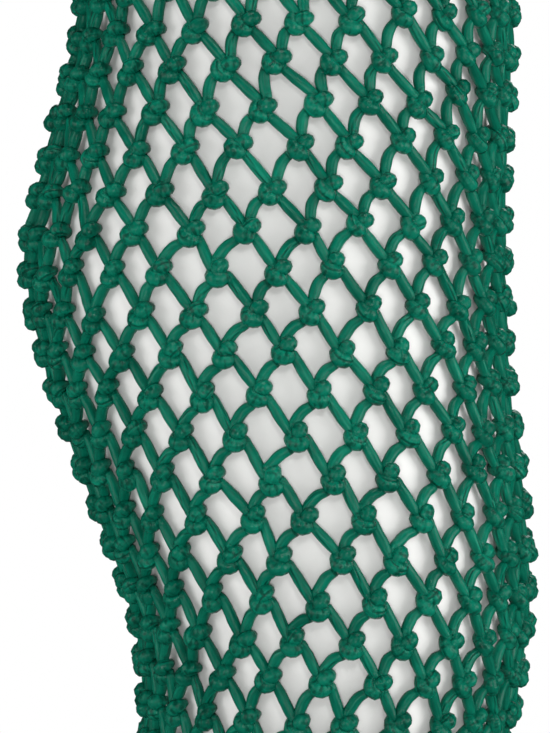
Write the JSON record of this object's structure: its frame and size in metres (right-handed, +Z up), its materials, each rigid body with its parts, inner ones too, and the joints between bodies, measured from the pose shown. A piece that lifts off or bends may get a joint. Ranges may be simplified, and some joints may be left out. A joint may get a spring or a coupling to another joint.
{
  "type": "knotted leather net skirt on a hip form",
  "caption": "Hand-knotted leather cord net, worn as a tube skirt, on a hollow countertop hip form that shows through its open meshes.",
  "frame": {"origin": "on the standing surface, under the middle of the object's box", "axes": "+Z up, towards the waist; +X towards the belly; +Y towards the body's left side"},
  "size_m": [0.3142, 0.346, 0.6573],
  "materials": {
    "green_leather": "satin",
    "form_skin": "smooth satin",
    "seam_tape": "resin-bonded tape",
    "plywood": "bare",
    "grey_felt": "matte",
    "screw_steel": "bright"
  },
  "bodies": {
    "root": {"net_row_01": "green_leather", "net_row_02": "green_leather", "net_row_03": "green_leather", "net_row_04": "green_leather", "net_row_05": "green_leather", "net_row_06": "green_leather", "net_row_07": "green_leather", "net_row_08": "green_leather", "net_row_09": "green_leather", "net_row_10": "green_leather", "net_row_11": "green_leather", "net_row_12": "green_leather", "net_row_13": "green_leather", "net_row_14": "green_leather", "net_row_15": "green_leather", "net_row_16": "green_leather", "net_row_17": "green_leather", "net_row_18": "green_leather", "net_row_19": "green_leather", "net_row_20": "green_leather", "net_row_21": "green_leather", "net_row_22": "green_leather", "waist_cord": "green_leather", "right_shell": "form_skin", "left_shell": "form_skin", "waist_cap": "form_skin", "front_seam_strip": "seam_tape", "back_seam_strip": "seam_tape", "base_board": "plywood", "base_felt": "grey_felt", "rim_screw_1": "screw_steel", "rim_screw_2": "screw_steel", "rim_screw_3": "screw_steel", "rim_screw_4": "screw_steel", "rim_screw_5": "screw_steel", "rim_screw_6": "screw_steel"}
  },
  "joints": []
}
